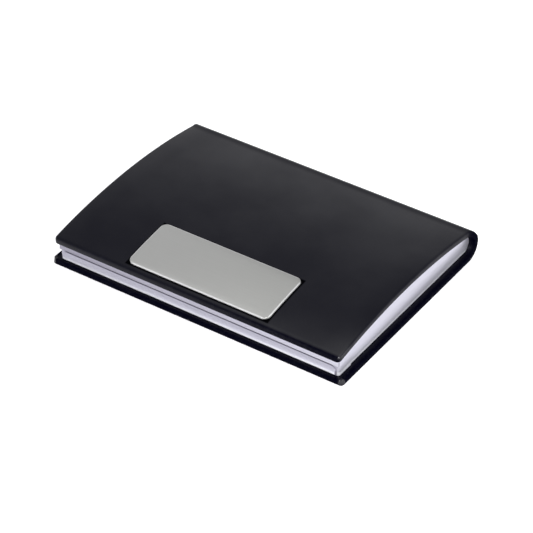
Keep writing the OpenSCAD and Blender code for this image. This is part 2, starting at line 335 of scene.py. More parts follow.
def rim_edge(edge, level):
    """True for an edge at a level, between a level face and an upright one."""
    if len(edge.link_faces) != 2 or any(abs(vert.co.z - level) > TINY for vert in edge.verts):
        return False
    steepest, flattest = sorted(abs(face.normal.z) for face in edge.link_faces)
    return steepest < UPRIGHT_TO and flattest > LEVEL_FROM


def soften_slab(piece, low, high, corner, below, above, segments):
    """Rounds a slab's upright corners, then its lower and upper rims."""
    edit(piece, "EDGE")
    if corner:
        pick(piece, "edges", lambda edge: upright_corner(edge, low.y, high.y))
        bpy.ops.mesh.bevel(offset=corner, segments=2 * segments, affect="EDGES")
    for level, radius in ((low.z, below), (high.z, above)):
        if radius:
            pick(piece, "edges", lambda edge: rim_edge(edge, level))
            bpy.ops.mesh.bevel(offset=radius, segments=segments, affect="EDGES")
    close_edit()


def roll_up(piece):
    """Notes where each point lies on the flat wrap, then rolls the piece up with it."""
    note = piece.data.attributes.new("flat_place", "FLOAT_VECTOR", "POINT")
    for vert in piece.data.vertices:
        note.data[vert.index].vector = vert.co
        vert.co = rolled(vert.co)
    piece.data.update()


def close_and_smooth(piece, sharp=SHARP_LEATHER):
    """Turns all faces outwards and shades the piece smooth except over sharp edges."""
    edit(piece)
    bpy.ops.mesh.select_all(action="SELECT")
    bpy.ops.mesh.normals_make_consistent(inside=False)
    close_edit()
    bpy.ops.object.shade_smooth_by_angle(angle=math.radians(sharp))


def softened_copy(source, name, width, segments):
    """A copy of a frame node, its triangles joined into whole faces and its sharp edges rounded."""
    piece = duplicate(frame["nodes"][source], name)
    piece.parent = None
    for key in [key for key in piece.keys() if key.startswith("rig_")]:
        del piece[key]
    edit(piece, "VERT")
    bpy.ops.mesh.select_all(action="SELECT")
    bpy.ops.mesh.remove_doubles(threshold=TINY / 2)
    bpy.ops.mesh.customdata_custom_splitnormals_clear()
    bpy.ops.mesh.dissolve_limited(angle_limit=math.radians(MERGE_UP_TO))
    close_edit()
    bevel = piece.modifiers.new("Edges", "BEVEL")
    bevel.width = width
    bevel.segments = segments
    bevel.limit_method = "ANGLE"
    bevel.angle_limit = math.radians(BEVEL_FROM)
    bpy.ops.object.modifier_apply(modifier=bevel.name)
    close_and_smooth(piece, SHARP_SHEET)
    return piece


def finish_piece(piece, material, slot, *nodes):
    """Gives a piece its material and hides the frame nodes that it stands for."""
    piece.data.materials.clear()
    piece.data.materials.append(material)
    if nodes:
        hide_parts(*nodes)


# ---- Materials ----

def feed(tree, sockets, values):
    """Gives each named socket its value, or links it to the socket that it is given."""
    for key, value in values.items():
        if isinstance(value, bpy.types.NodeSocket):
            tree.links.new(value, sockets[key])
        else:
            sockets[key].default_value = value


def node(tree, kind, inputs=None, **settings):
    """Adds a node with its settings to a tree and feeds its inputs."""
    made = tree.nodes.new(kind)
    for key, value in settings.items():
        setattr(made, key, value)
    feed(tree, made.inputs, inputs or {})
    return made


def calculate(tree, operation, first, *others, clamp=False):
    """Result of an operation on a value, taken in turn with each of the others."""
    for other in others or (0.0,):
        inputs = {0: first, 1: other}
        made = node(tree, "ShaderNodeMath", inputs, operation=operation, use_clamp=clamp)
        first = made.outputs[0]
    return first


def product(tree, *factors):
    """Product of values."""
    return calculate(tree, "MULTIPLY", *factors)


def calculate_vector(tree, operation, first, second=ORIGIN):
    """Result of an operation on one or two vectors."""
    return node(tree, "ShaderNodeVectorMath", {0: first, 1: second}, operation=operation).outputs[0]


def axes(tree, vector):
    """The X, Y and Z of a vector."""
    return node(tree, "ShaderNodeSeparateXYZ", {0: vector}).outputs


def inverse(tree, mask):
    """1 where a mask is 0, and 0 where it is 1."""
    return calculate(tree, "SUBTRACT", 1.0, mask)


def added(tree, start, *terms):
    """A start and the sum of values, each scaled by its weight."""
    for value, weight in terms:
        start = calculate(tree, "ADD", product(tree, value, weight), start)
    return start


def between(tree, value, low, high, to_low=0.0, to_high=1.0, smooth=False):
    """Maps a value from one range to another, held at its ends."""
    return node(tree, "ShaderNodeMapRange", {
        "Value": value, "From Min": low, "From Max": high, "To Min": to_low, "To Max": to_high,
    }, interpolation_type="SMOOTHSTEP" if smooth else "LINEAR").outputs[0]


def beyond(tree, value, origin, start, end, to_low=0.0, to_high=1.0, smooth=False):
    """Maps the stretch between two distances past an origin, in millimetres, to a range."""
    return between(tree, value, origin + start * MM, origin + end * MM, to_low, to_high, smooth)


def mixed(tree, factor, first, second):
    """Mixes two colours, each a colour or a socket."""
    inputs = {0: factor, MIX_FIRST: first, MIX_SECOND: second}
    for key in (MIX_FIRST, MIX_SECOND):
        if not isinstance(inputs[key], bpy.types.NodeSocket):
            inputs[key] = (*inputs[key], 1)
    return node(tree, "ShaderNodeMix", inputs, data_type="RGBA").outputs[MIX_RESULT]


def dimmed(tint, share):
    """A colour at a share of its brightness."""
    return tuple(share * part for part in tint)


def new_group(name, inputs, outputs):
    """A node group, and the sockets at its two ends. Each input is a number or a vector."""
    tree = bpy.data.node_groups.new(name, "ShaderNodeTree")
    for label, default in inputs.items():
        kind = "NodeSocketFloat" if isinstance(default, float) else "NodeSocketVector"
        socket = tree.interface.new_socket(name=label, in_out="INPUT", socket_type=kind)
        socket.default_value = default
    for label in outputs:
        tree.interface.new_socket(name=label, in_out="OUTPUT", socket_type="NodeSocketFloat")
    return tree, tree.nodes.new("NodeGroupInput").outputs, tree.nodes.new("NodeGroupOutput").inputs


def build_grain_group():
    """Fine pebbled grain: a height, and a value that changes from pebble to pebble."""
    tree, given, put = new_group(
        "Fine grain", {"Vector": ORIGIN, "Scale": 2500.0, "Roundness": 0.6}, ["Height", "Pebble"])
    bend_scale = product(tree, given["Scale"], 0.35)
    bend_reach = calculate(tree, "DIVIDE", 0.8, given["Scale"])
    bent = node(tree, "ShaderNodeTexNoise", {
        "Vector": given["Vector"], "Scale": bend_scale, "Detail": 2.0}).outputs["Color"]
    shift = node(tree, "ShaderNodeVectorMath", {
        0: calculate_vector(tree, "SUBTRACT", bent, (0.5, 0.5, 0.5)), "Scale": bend_reach,
    }, operation="SCALE").outputs[0]
    cells = node(tree, "ShaderNodeTexVoronoi", {
        "Vector": calculate_vector(tree, "ADD", given["Vector"], shift), "Scale": given["Scale"],
        "Smoothness": given["Roundness"]}, feature="SMOOTH_F1").outputs
    feed(tree, put, {
        "Height": between(tree, cells["Distance"], 0.1, 0.7, 1.0, 0.0, smooth=True),
        "Pebble": axes(tree, cells["Color"])[0]})
    return tree


def build_mottle_group():
    """Slow uneven patches, with finer speckles over them."""
    tree, given, put = new_group(
        "Mottle", {"Vector": ORIGIN, "Scale": 60.0, "Contrast": 1.0}, ["Patch", "Speckle"])
    fine_scale = product(tree, given["Scale"], 22.0)
    gain = product(tree, given["Contrast"], 2.5)
    slow = node(tree, "ShaderNodeTexNoise", {
        "Vector": given["Vector"], "Scale": given["Scale"], "Detail": 4.0, "Roughness": 0.55})
    fast = node(tree, "ShaderNodeTexNoise", {
        "Vector": given["Vector"], "Scale": fine_scale, "Detail": 3.0})
    for source, label in ((slow, "Patch"), (fast, "Speckle")):
        centred = calculate(tree, "SUBTRACT", source.outputs["Fac"], 0.5)
        spread = product(tree, centred, gain)
        feed(tree, put, {label: calculate(tree, "ADD", spread, 0.5, clamp=True)})
    return tree


def build_border_group():
    """Mask that is 1 along a rectangle's outline and fades unevenly to 0 inside it."""
    tree, given, put = new_group("Border", {
        "Vector": ORIGIN, "Centre": ORIGIN, "Half size": ORIGIN, "Width": MM, "Unevenness": 0.5,
    }, ["Mask", "Inside"])
    offset = calculate_vector(tree, "SUBTRACT", given["Vector"], given["Centre"])
    offset = calculate_vector(tree, "ABSOLUTE", offset)
    left = axes(tree, calculate_vector(tree, "SUBTRACT", given["Half size"], offset))
    inside = calculate(tree, "MINIMUM", left[0], left[1])
    patches = node(tree, "ShaderNodeTexNoise", {
        "Vector": given["Vector"], "Scale": 320.0, "Detail": 3.0}).outputs["Fac"]
    uneven = product(tree, calculate(tree, "SUBTRACT", patches, 0.5), given["Unevenness"])
    share = calculate(tree, "ADD", calculate(tree, "DIVIDE", inside, given["Width"]), uneven)
    feed(tree, put, {
        "Mask": between(tree, share, 0.0, 1.0, 1.0, 0.0, smooth=True), "Inside": inside})
    return tree


def build_brushed_group():
    """Fine parallel scratches along the axis that the stretch leaves longest."""
    tree, given, put = new_group(
        "Brushed", {"Vector": ORIGIN, "Stretch": (120.0, 9000.0, 9000.0)}, ["Lines", "Streaks"])
    place = calculate_vector(tree, "MULTIPLY", given["Vector"], given["Stretch"])
    fine = node(tree, "ShaderNodeTexNoise", {
        "Vector": place, "Scale": 1.0, "Detail": 3.0, "Roughness": 0.6})
    broad = node(tree, "ShaderNodeTexNoise", {"Vector": place, "Scale": 0.12, "Detail": 2.0})
    feed(tree, put, {
        "Lines": between(tree, fine.outputs["Fac"], 0.3, 0.7),
        "Streaks": between(tree, broad.outputs["Fac"], 0.35, 0.65)})
    return tree


GROUP_BUILDERS = {
    "Fine grain": build_grain_group,
    "Mottle": build_mottle_group,
    "Border": build_border_group,
    "Brushed": build_brushed_group,
}


def group(tree, name, place, **inputs):
    """Places one of the shared groups in a material. Each group is built once."""
    made = bpy.data.node_groups.get(name) or GROUP_BUILDERS[name]()
    return node(tree, "ShaderNodeGroup", {"Vector": place, **inputs}, node_tree=made).outputs


def border(tree, place, low, high, width=1.0, unevenness=0.0):
    """The Border group round the rectangle between two corners, its width in millimetres."""
    return group(tree, "Border", place, **{
        "Centre": (low + high) / 2, "Half size": (high - low) / 2, "Width": width * MM,
        "Unevenness": unevenness})


def new_material(name, uniform=None, on_wrap=False):
    """A material, its tree, its shader's inputs and the coordinates that its patterns lie on."""
    material = bpy.data.materials.new(name)
    material.use_nodes = True
    tree = material.node_tree
    shader = tree.nodes["Principled BSDF"].inputs
    feed(tree, shader, uniform or {})
    if on_wrap:
        place = node(tree, "ShaderNodeAttribute", attribute_name="flat_place").outputs["Vector"]
    else:
        place = node(tree, "ShaderNodeTexCoord").outputs["Object"]
    return material, tree, shader, place


def surface(tree, shader, tint, roughness, height, strength):
    """Feeds a shader with a colour, a roughness and a bump, its height in millimetres."""
    bump = node(tree, "ShaderNodeBump", {"Height": height, "Distance": MM, "Strength": strength})
    feed(tree, shader, {"Base Color": tint, "Roughness": roughness, "Normal": bump.outputs[0]})


def leather_material():
    """Smooth coated leather: fine grain, rubbed edges and a groove pressed round the nameplate,
    with a painted shadow in it.
    """
    material, tree, shader, place = new_material(
        "Black leather", {"Specular IOR Level": 0.0, "Coat Roughness": 0.2, "Coat IOR": 1.45},
        on_wrap=True)
    grain = group(tree, "Fine grain", place, Scale=2600.0, Roundness=0.8)
    patches = group(tree, "Mottle", place, Scale=45.0)
    half = (BASE_HIGH.x + LID_HIGH.x) / 2
    low, high = Vector((-half, BASE_LOW.y, 0)), Vector((half, FLAT_END, 0))
    edge = border(tree, place, low, high, 1.1, 0.25)["Mask"]
    # The line round the nameplate is a real groove in the bump, and a painted shadow in the colour,
    # with no gloss.
    groove_and_shadow = beyond(
        tree, border(tree, place, *on_lid("nameplate"))["Inside"], 0, -0.65, -0.25, smooth=True)
    rubbed = product(tree, edge, between(tree, patches["Speckle"], 0.45, 0.9, 0.0, 0.35))
    faded = between(tree, patches["Patch"], 0.35, 0.9, 0.0, 0.08)
    tint = mixed(tree, rubbed, colours().leather, colours().leather_worn)
    tint = mixed(tree, faded, tint, colours().leather_worn)
    # Painted shadow in the line round the nameplate.
    tint = mixed(tree, groove_and_shadow, tint, colours().leather_pressed_shadow)
    gloss = product(
        tree, between(tree, patches["Patch"], 0.2, 0.8, 0.54, 0.66),
        inverse(tree, product(tree, edge, 0.9)), inverse(tree, groove_and_shadow),
        beyond(tree, axes(tree, place)[1], LID_START, -1.0, 2.5, 0.4, 1.0, smooth=True))
    gloss = calculate(tree, "MAXIMUM", gloss, drawn_tight(tree, place))
    feed(tree, shader, {"Coat Weight": gloss})
    roughness = added(tree, 0.5, (patches["Patch"], 0.08), (grain["Pebble"], 0.06), (edge, 0.1))
    height = added(
        tree, 0.0, (grain["Height"], 0.010), (patches["Speckle"], 0.008), (groove_and_shadow, -0.12))
    surface(tree, shader, tint, roughness, height, 0.6)
    return material


def drawn_tight(tree, place):
    """Shine of the leather where it is drawn tight: the lid's front and the covers' corners."""
    spot = axes(tree, place)
    end = calculate(tree, "ABSOLUTE", spot[0])
    lid_front = product(
        tree, beyond(tree, spot[1], FLAT_END, -1.6, -0.8),
        between(tree, spot[0], LID_LOW.x, LID_HIGH.x, 0.5, 0.05))
    lid_rim = product(
        tree, beyond(tree, end, LID_HIGH.x, -0.9, -0.5),
        beyond(tree, spot[1], FLAT_END, -10, -2, smooth=True),
        beyond(tree, spot[2], 0, 0.5, 0.8, 1.0, 0.0))
    base_corner = product(
        tree, beyond(tree, end, BASE_HIGH.x, -1.5, -1.1),
        beyond(tree, spot[1], BASE_LOW.y, 1.1, 1.5, 1.0, 0.0),
        beyond(tree, spot[2], 0, 0.4, 0.8, smooth=True))
    return calculate(tree, "MAXIMUM", lid_front, lid_rim, base_corner)


def microfibre_material(name, on_wrap):
    """Short brushed nap: tiny fibres, lighter where they lie over."""
    material, tree, shader, place = new_material(name, {"Sheen Weight": 0.35}, on_wrap)
    nap = group(tree, "Fine grain", place, Scale=7000.0, Roundness=0.3)
    patches = group(tree, "Mottle", place, Scale=130.0, Contrast=1.2)
    lying = added(tree, 0.0, (nap["Height"], 0.45), (patches["Patch"], 0.35))
    tint = mixed(tree, lying, colours().lining, colours().lining_nap)
    roughness = added(tree, 0.80, (patches["Speckle"], 0.17))
    height = added(tree, 0.0, (nap["Height"], 0.05), (patches["Speckle"], 0.04))
    surface(tree, shader, tint, roughness, height, 0.8)
    return material


def steel_material(name, shading):
    """Satin sheet steel: fine brushing and faint patches, with painted highlights and painted shade
    from two masks.
    """
    material, tree, shader, place = new_material(name)
    lines = group(tree, "Brushed", place, Stretch=(150.0, 9000.0, 9000.0))
    patches = group(tree, "Mottle", place, Scale=55.0, Contrast=0.8)
    # The first mask paints highlights in the highlight colour, the second paints shade in the dark
    # colour.
    bright, dark = shading(tree, place)
    shade = added(
        tree, 0.0, (lines["Lines"], 0.05), (lines["Streaks"], 0.04), (patches["Patch"], 0.05))
    tint = mixed(tree, bright, colours().steel, colours().steel_highlight)
    tint = mixed(tree, dark, tint, colours().steel_dark)
    tint = mixed(tree, shade, tint, dimmed(colours().steel, 0.72))
    roughness = added(
        tree, 0.36, (lines["Lines"], 0.08), (patches["Patch"], 0.08), (bright, -0.06))
    height = added(tree, 0.0, (lines["Lines"], 0.006), (patches["Speckle"], 0.003))
    feed(tree, shader, {"Metallic": added(tree, 0.72, (bright, -0.27))})
    surface(tree, shader, tint, roughness, height, 0.5)
    return material


def tray_shading(tree, place):
    """Painted highlight on the tray's arched top and folded foot, and painted shade up its front
    wall.

    The painted shade also darkens the gap under the lid's lip and draws a short shadow line along
    the seam at each end.
    """
    low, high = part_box("tray")
    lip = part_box("lid_liner")[0].z
    spot = axes(tree, place)
    arm = calculate_vector(tree, "SUBTRACT", place, (0, ARCH_Y, ARCH_Z))
    arm = calculate_vector(tree, "MULTIPLY", arm, (0, 1, 1))
    reach = node(tree, "ShaderNodeVectorMath", {0: arm}, operation="LENGTH").outputs["Value"]
    # Painted highlights: bright bands along the arched top of the tray's ends and on its folded
    # foot.
    arched_top_highlight = beyond(tree, reach, ARCH_RADIUS - COVER, -1.1, -0.3, 0.0, 0.8, smooth=True)
    foot = beyond(tree, spot[2], low.z, 0.5, 1.5, 1.0, 0.0, smooth=True)
    front = beyond(tree, spot[1], low.y, 0.5, 1.0, 1.0, 0.0)
    # Painted shade: darker up the front wall and in the gap under the lid's lip.
    wall = between(tree, spot[2], low.z + 0.6 * MM, lip - 0.8 * MM, 0.0, 0.6, smooth=True)
    gap = beyond(tree, spot[2], lip, -0.55, -0.3, smooth=True)
    # Painted shadow line along the seam at each end of the front wall.
    beside = calculate(tree, "SUBTRACT", calculate(tree, "ABSOLUTE", spot[0]), high.x - 0.85 * MM)
    beside = calculate(tree, "ABSOLUTE", beside)
    seam = product(
        tree, beyond(tree, beside, 0, 0.1, 0.3, 1.0, 0.0, smooth=True),
        beyond(tree, spot[2], lip, -1.8, -0.8, 1.0, 0.0))
    dark = product(tree, front, calculate(tree, "MAXIMUM", wall, gap, seam))
    return calculate(tree, "MAXIMUM", arched_top_highlight, foot), dark


def liner_shading(tree, place):
    """Painted highlight along the lid liner's outline, and painted shade that fades along its lip.
    """
    low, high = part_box("lid_liner")
    spot = axes(tree, place)
    lip = beyond(tree, spot[1], low.y, 0.5, 1.0, 1.0, 0.0)
    # Painted highlight round the liner's outline.
    outline = border(tree, place, low, high, 0.8, 0.4)["Mask"]
    # Painted shade on the lip, strongest at its left end.
    lip_shade_left_to_right = between(tree, spot[0], low.x, high.x, 0.85, 0.1)
    return (product(tree, outline, inverse(tree, lip)),
            product(tree, lip, lip_shade_left_to_right))


def nameplate_material():
    """Satin plate brushed along its length, painted lighter to the left, with a painted highlight
    on its smoother rim.
    """
    material, tree, shader, place = new_material(
        "Satin nameplate", {"Metallic": 0.85}, on_wrap=True)
    low, high = on_lid("nameplate")
    rim = border(tree, place, low, high, 0.5, 0.15)["Mask"]
    lines = group(tree, "Brushed", place, Stretch=(90.0, 14000.0, 14000.0))
    patches = group(tree, "Mottle", place, Scale=40.0, Contrast=0.7)
    # Painted light: the plate is lighter towards its left end.
    lighter = between(tree, axes(tree, place)[0], low.x, high.x, 0.15, 0.0)
    shade = added(
        tree, 0.0, (lines["Lines"], 0.10), (lines["Streaks"], 0.05), (patches["Patch"], 0.05))
    tint = mixed(tree, shade, colours().plate, dimmed(colours().plate, 0.7))
    tint = mixed(tree, lighter, tint, colours().plate_highlight)
    # Painted highlight along the rim, which is also smoother.
    tint = mixed(tree, rim, tint, colours().plate_highlight)
    roughness = added(tree, 0.36, (lines["Lines"], 0.10), (patches["Patch"], 0.06), (rim, -0.10))
    height = product(tree, lines["Lines"], 0.006)
    surface(tree, shader, tint, roughness, height, 0.5)
    return material


def board_material():
    """Pressed grey board with darker fibres."""
    material, tree, shader, place = new_material("Grey board")
    flecks = group(tree, "Mottle", place, Scale=160.0, Contrast=1.4)
    fibres = group(tree, "Brushed", place, Stretch=(700.0, 2600.0, 2600.0))
    dark = added(tree, 0.0, (flecks["Speckle"], 0.5), (fibres["Lines"], 0.3))
    tint = mixed(tree, dark, colours().board, colours().board_fleck)
    roughness = added(tree, 0.82, (flecks["Patch"], 0.14))
    height = added(tree, 0.0, (fibres["Lines"], 0.02), (flecks["Speckle"], 0.02))
    surface(tree, shader, tint, roughness, height, 0.6)
    return material


def adhesive_material():
    """Foam adhesive with small open cells."""
    material, tree, shader, place = new_material("Foam adhesive")
    cells = group(tree, "Fine grain", place, Scale=3200.0, Roundness=0.2)
    patches = group(tree, "Mottle", place, Scale=90.0)
    open_cells = added(tree, 0.0, (cells["Height"], 0.5), (patches["Patch"], 0.25))
    tint = mixed(tree, open_cells, colours().adhesive, colours().adhesive_pore)
    roughness = added(tree, 0.45, (patches["Speckle"], 0.25))
    surface(tree, shader, tint, roughness, product(tree, cells["Height"], 0.04), 0.7)
    return material


def rail_material():
    """Moulded rail with a spark-eroded texture, rubbed along its edges."""
    material, tree, shader, place = new_material("Moulded rail")
    rubbed = border(tree, place, *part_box("magnet_rail"), 0.5, 0.9)["Mask"]
    texture = group(tree, "Fine grain", place, Scale=5200.0, Roundness=0.5)
    patches = group(tree, "Mottle", place, Scale=110.0)
    tint = mixed(tree, product(tree, rubbed, 0.6), colours().rail, colours().rail_rubbed)
    roughness = added(
        tree, 0.42, (texture["Pebble"], 0.10), (patches["Patch"], 0.10), (rubbed, -0.12))
    height = product(tree, texture["Height"], 0.02)
    surface(tree, shader, tint, roughness, height, 0.6)
    return material


def nickel_material():
    """Nickel plate with handling marks."""
    material, tree, shader, place = new_material("Nickel plate", {"Metallic": 1.0})
    patches = group(tree, "Mottle", place, Scale=400.0, Contrast=1.2)
    lines = group(tree, "Brushed", place, Stretch=(2500.0, 9000.0, 9000.0))
    tint = mixed(
        tree, product(tree, patches["Patch"], 0.5), colours().nickel,
        colours().nickel_dull)
    roughness = added(tree, 0.16, (patches["Patch"], 0.15), (lines["Lines"], 0.06))
    height = added(tree, 0.0, (lines["Lines"], 0.004), (patches["Speckle"], 0.004))
    surface(tree, shader, tint, roughness, height, 0.5)
    return material


def floor_material(glow):
    """Plain pale floor with a little light of its own."""
    material, tree, shader, place = new_material("Pale floor", {"Emission Strength": glow})
    patches = group(tree, "Mottle", place, Scale=6.0, Contrast=0.4)
    tint = mixed(
        tree, product(tree, patches["Patch"], 0.1), colours().floor,
        dimmed(colours().floor, 0.97))
    roughness = added(tree, 0.7, (patches["Speckle"], 0.1))
    feed(tree, shader, {"Base Color": tint, "Emission Color": tint, "Roughness": roughness})
    return material


# ---- Pieces ----

def steps(start, end, most):
    """Evenly spaced places strictly between two, no further apart than the given step."""
    count = max(1, math.ceil((end - start) / most))
    return [start + (end - start) * index / count for index in range(1, count)]


def seams():
    """Places along the flat wrap where its pieces meet, in each of the spine's three strips."""
    lower, middle = (sum(FLAT_FOLDS[index:index + 2]) / 2 for index in (0, 1))
    return [lower, middle, spine_place(shapes().upper_seam)]


def bend_ends():
    """Places along the flat wrap a bend length before the spine's first fold and past its last."""
    return FLAT_FOLDS[0] - shapes().base_bend, FLAT_FOLDS[-1] + shapes().lid_bend


def bend_rows():
    """Places along the flat wrap where a row of edges lets it bend."""
    spine = SPINE_RADIUS * shapes().spine_step
    first, last = bend_ends()
    rows = steps(first, FLAT_FOLDS[0], spine) + steps(FLAT_FOLDS[0], LID_START, spine)
    rows += steps(LID_START, last, spine)
    rows += steps(last, FLAT_END, ARCH_RADIUS * shapes().lid_step)
    return [first, last] + rows


def blend_over_folds(parts):
    """Works out where each of the four stretches of a flat strip starts and ends, and bakes each
    stretch's placement into its mesh; nothing bends it over its fold.
    """
    first, last = bend_ends()
    starts = [first, *FLAT_FOLDS[1:3], seams()[-1]]
    ends = [*seams(), last]
    for index, part in enumerate(parts):
        start, end = (rolled(Vector((0, place, 0))) for place in (starts[index], ends[index]))
        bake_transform(part)


def finish_strip(flat, rows, material, slot):
    """Cuts a flat strip at the seams and rolls each stretch up."""
    ends = [corner[1] for corner in flat.bound_box]
    marks = [min(ends) - MM, *seams(), max(ends) + MM]
    parts = [part_between(flat, name, *marks[index:index + 2])
             for index, (name, nodes) in enumerate(rows)]
    bpy.data.objects.remove(flat)
    for part, (name, nodes) in zip(parts, rows):
        roll_up(part)
        close_and_smooth(part)
        finish_piece(part, material, slot, *nodes)
    blend_over_folds(parts)


def push_in(depth):
    """Extrudes the selected faces downwards."""
    bpy.ops.mesh.extrude_region_move(TRANSFORM_OT_translate={"value": (0, 0, -depth)})


def sink_pocket(piece, window, pocket, depths, corner):
    """Sinks a window into the inner face, then widens it under the turned-in edge for a board.

    The window and the pocket are each a half width and the places of their front and back.
    """
    (half, front, back), (wide, wide_front, wide_back) = window, pocket
    window_depth, pocket_depth = depths
    edit(piece)

    def in_window(face):
        middle = face.calc_center_median()
        inner = face.normal.z > LEVEL_FROM and middle.z > COVER - TINY
        return inner and abs(middle.x) < half and front < middle.y < back

    pick(piece, "faces", in_window)
    push_in(window_depth)
    push_in(0)
    bpy.ops.transform.resize(value=(wide / half, (wide_back - wide_front) / (back - front), 1))
    shift = (wide_back + wide_front - back - front) / 2
    bpy.ops.transform.translate(value=(0, shift, 0))
    push_in(pocket_depth)
    pick(piece, "edges", lambda edge: upright_corner(edge, wide_front, wide_back))
    bpy.ops.mesh.bevel(offset=corner, segments=4, affect="EDGES")
    close_edit()


def lean_front_plumb(wrap):
    """Leans the flat wrap's far end so that the lid's front stands plumb once it is rolled up."""
    lean = math.tan(math.asin((ARCH_Y - LID_LOW.y) / ARCH_RADIUS))
    for vert in wrap.data.vertices:
        if vert.co.y > FLAT_END - shapes().corner_radius - TINY:
            vert.co.y += lean * vert.co.z


def draw_in_corners(wrap):
    """Draws the base's front corners in towards the top, where the leather is pleated."""
    radius, foot = shapes().corner_radius, shapes().pleat_foot
    for vert in wrap.data.vertices:
        side = math.copysign(1, vert.co.x)
        out = Vector((side * vert.co.x - BASE_HIGH.x + radius, BASE_LOW.y + radius - vert.co.y))
        if min(out) > TINY and vert.co.z > BASE_LOW.z + foot:
            rise = (vert.co.z - foot) / (COVER - foot)
            diagonal = math.sin(2 * math.atan2(out.y, out.x))
            pull = out * (shapes().pleat_depth * rise * diagonal / radius)
            vert.co.x -= side * pull.x
            vert.co.y += pull.y


def flat_wrap():
    """The whole wrap lying flat on its outer face, with a pocket for each board."""
    tape_low, tape_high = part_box("tray_tape")
    board_low, board_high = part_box("base_board")
    lid_tape_low, lid_tape_high = on_lid("liner_tape")
    lid_board_low, lid_board_high = on_lid("lid_board")
    low, high = Vector((-BASE_HIGH.x, BASE_LOW.y, 0)), Vector((BASE_HIGH.x, FLAT_END, COVER))
    wrap = block("flat_wrap", low, high)
    narrowing = LID_HIGH.x / BASE_HIGH.x
    base_window = (tape_high.x, tape_low.y, tape_high.y)
    lid_window = (tape_high.x * narrowing, lid_tape_low.y, lid_tape_high.y)
    cut_across(wrap, (-tape_high.x, tape_high.x), axis=0)
    cut_across(wrap, (*base_window[1:], FLAT_FOLDS[2], LID_START, *lid_window[1:]))
    edit(wrap, "VERT")
    pick(wrap, "verts", lambda vert: vert.co.y > LID_START - TINY)
    bpy.ops.transform.resize(value=(narrowing, 1, 1))
    close_edit()
    soften_slab(
        wrap, low, high, shapes().corner_radius, shapes().outer_round, shapes().inner_round,
        shapes().round_segments)
    lean_front_plumb(wrap)
    draw_in_corners(wrap)
    depths = (COVER - board_high.z, board_high.z - board_low.z)
    board_corner = shapes().corner_radius - board_low.z
    base_pocket = (board_high.x, board_low.y, board_high.y)
    sink_pocket(wrap, base_window, base_pocket, depths, board_corner)
    lid_pocket = (lid_board_high.x, lid_board_low.y, lid_board_high.y)
    sink_pocket(wrap, lid_window, lid_pocket, depths, board_corner)
    cut_across(wrap, bend_rows())
    return wrap


class CARDCASE_OT_wrap(bpy.types.Operator):
    """Models the leather wrap flat, sinks the pockets for its boards and rolls it up"""
    bl_idname = "cardcase.wrap"
    bl_label = "Leather Wrap"

    def execute(self, context):
        rows = (("base_wrap", ["base_leather", "spine_leather_lower"]),
                ("spine_wrap_lower", ["spine_leather_middle"]),
                ("spine_wrap_upper", ["spine_leather_upper"]),
                ("lid_wrap", ["lid_leather"]))
        finish_strip(flat_wrap(), rows, leather_material(), "leather")
        return {"FINISHED"}


class CARDCASE_OT_spine_lining(bpy.types.Operator):
    """Models the strip of lining inside the spine, from behind the tray up to the lid"""
    bl_idname = "cardcase.spine_lining"
    bl_label = "Spine Lining"

    def execute(self, context):
        pad_low, pad_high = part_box("tray_lining")
        steel = pad_low.z - COVER
        thickness = shapes().lining_thickness
        start = pad_high.y + steel + shapes().lining_gap
        low = Vector((-pad_high.x, start, COVER))
        high = Vector((pad_high.x, laid_flat(start), COVER + thickness))
        strip = block("flat_lining", low, high)
        soften_slab(strip, low, high, 0, 0, thickness / 2, 2)
        cut_across(strip, bend_rows())
        rows = (("lining_base", ["spine_lining_lower"]), ("lining_lower", ["spine_lining_middle"]),
                ("lining_upper", ["spine_lining_upper"]), ("lining_lid", []))
        finish_strip(strip, rows, microfibre_material("Spine lining", on_wrap=True), "lining")
        return {"FINISHED"}


class CARDCASE_OT_steel(bpy.types.Operator):
    """Rounds the cut edges of the folded steel tray and of the lid's steel liner"""
    bl_idname = "cardcase.steel"
    bl_label = "Steel Tray and Liner"

    def execute(self, context):
        rows = (("tray", "folded_tray", "base", tray_shading),
                ("lid_liner", "steel_lid_liner", "lid", liner_shading))
        for source, name, body, shading in rows:
            sheet = softened_copy(source, name, shapes().steel_edge, 2)
            finish_piece(sheet, steel_material("Satin steel " + body, shading), "steel", source)
            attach(sheet, body)
        return {"FINISHED"}


class CARDCASE_OT_nameplate(bpy.types.Operator):
    """Models the nameplate flat, turns its rim down and forms it to the lid's arch"""
    bl_idname = "cardcase.nameplate"
    bl_label = "Nameplate"

    def execute(self, context):
        tape_low, tape_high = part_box("nameplate_tape")
        nearest_to_top = min(max(ARCH_Y, tape_low.y), tape_high.y)
        glue = tape_high.z - rolled(Vector((0, laid_flat(nearest_to_top), 0))).z
        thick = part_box("nameplate")[1].z - tape_high.z
        low, high = on_lid("nameplate")
        low.z, high.z = -glue - thick, -glue
        plate = block("satin_nameplate", low, high)
        soften_slab(plate, low, high, shapes().plate_corner, shapes().plate_rim, 0, 4)
        cut_across(plate, steps(low.y, high.y, ARCH_RADIUS * shapes().lid_step))
        roll_up(plate)
        close_and_smooth(plate)
        finish_piece(plate, nameplate_material(), "nameplate", "nameplate")
        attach(plate, "lid")
        return {"FINISHED"}


class CARDCASE_OT_closure(bpy.types.Operator):
    """Rounds the edges of the magnet rail and of the two magnets in its pockets"""
    bl_idname = "cardcase.closure"
    bl_label = "Rail and Magnets"

    def execute(self, context):
        rail_edge, magnet_edge = shapes().rail_edge, shapes().magnet_edge
        rows = (("magnet_rail", "moulded_rail", rail_edge, rail_material(), "rail"),
                ("closing_magnets", "nickel_magnets", magnet_edge, nickel_material(), "magnet"))
        for source, name, width, material, slot in rows:
            piece = softened_copy(source, name, width, 3)
            finish_piece(piece, material, slot, source)
            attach(piece, "base")
        return {"FINISHED"}


